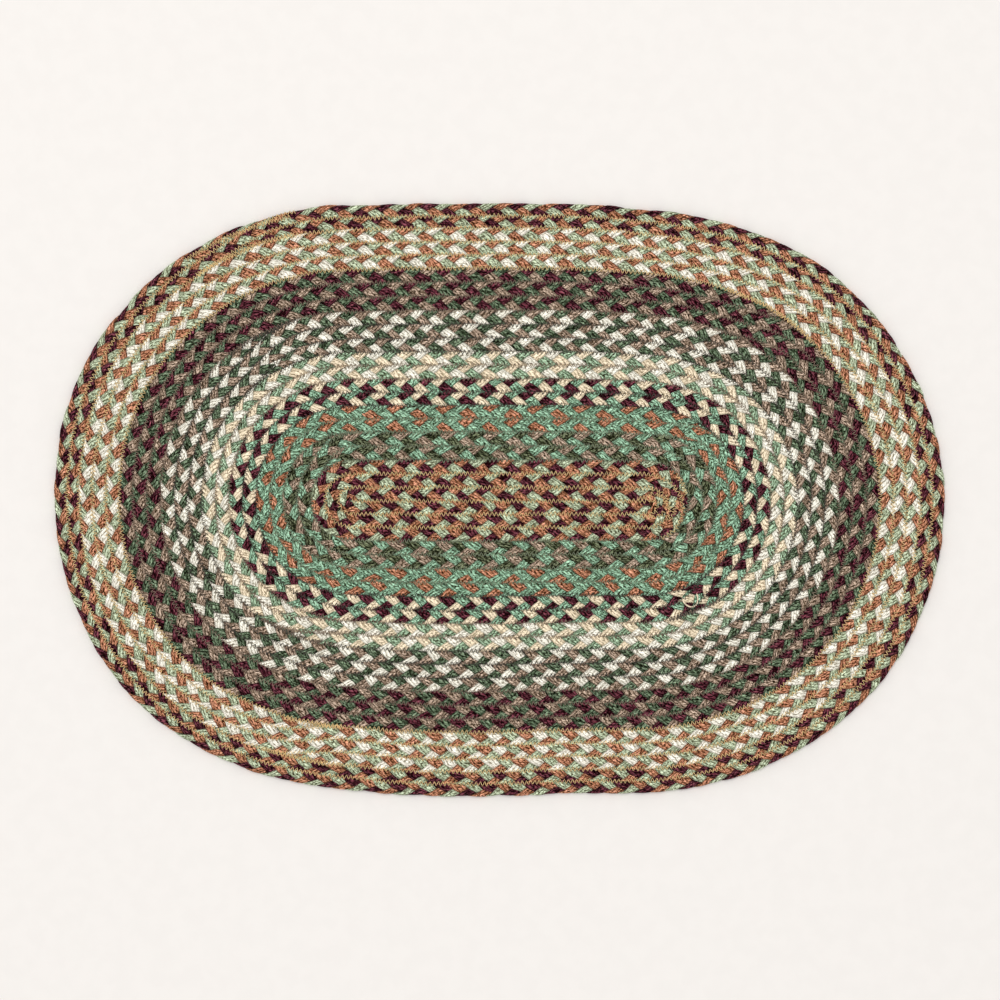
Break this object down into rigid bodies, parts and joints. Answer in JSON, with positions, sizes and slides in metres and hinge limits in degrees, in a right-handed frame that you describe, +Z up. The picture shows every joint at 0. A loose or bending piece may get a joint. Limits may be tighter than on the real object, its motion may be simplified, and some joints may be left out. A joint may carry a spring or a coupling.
{
  "type": "oval braided jute doormat",
  "caption": "Flat oval doormat of jute plaits in several colours, wound round a straight middle and sewn edge to edge, to lie on a floor and take dirt off shoes.",
  "frame": {"origin": "on the floor, under the middle of the mat's bounding box", "axes": "+X along the mat's length, +Y across it, +Z up out of the floor"},
  "size_m": [0.7624, 0.5076, 0.007],
  "materials": {
    "plait_1_centre": "matt dyed jute yarn, plaited and stitched",
    "plait_2_mint_olive_taupe": "matt dyed jute yarn, plaited and stitched",
    "plait_3_mint_terracotta": "matt dyed jute yarn, plaited and stitched",
    "plait_4_plum_sand_mint": "matt dyed jute yarn, plaited and stitched",
    "plait_5_green_white_sand": "matt dyed jute yarn, plaited and stitched",
    "plait_6_taupe_green_white": "matt dyed jute yarn, plaited and stitched",
    "plait_7_plum_green_taupe": "matt dyed jute yarn, plaited and stitched",
    "plait_8_white_sage_terracotta": "matt dyed jute yarn, plaited and stitched",
    "plait_9_rim": "matt dyed jute yarn, plaited and stitched"
  },
  "bodies": {
    "root": {"plait_1_centre": "plait_1_centre", "plait_2_mint_olive_taupe": "plait_2_mint_olive_taupe", "plait_3_mint_terracotta": "plait_3_mint_terracotta", "plait_4_plum_sand_mint": "plait_4_plum_sand_mint", "plait_5_green_white_sand": "plait_5_green_white_sand", "plait_6_taupe_green_white": "plait_6_taupe_green_white", "plait_7_plum_green_taupe": "plait_7_plum_green_taupe", "plait_8_white_sage_terracotta": "plait_8_white_sage_terracotta", "plait_9_rim": "plait_9_rim"}
  },
  "joints": []
}
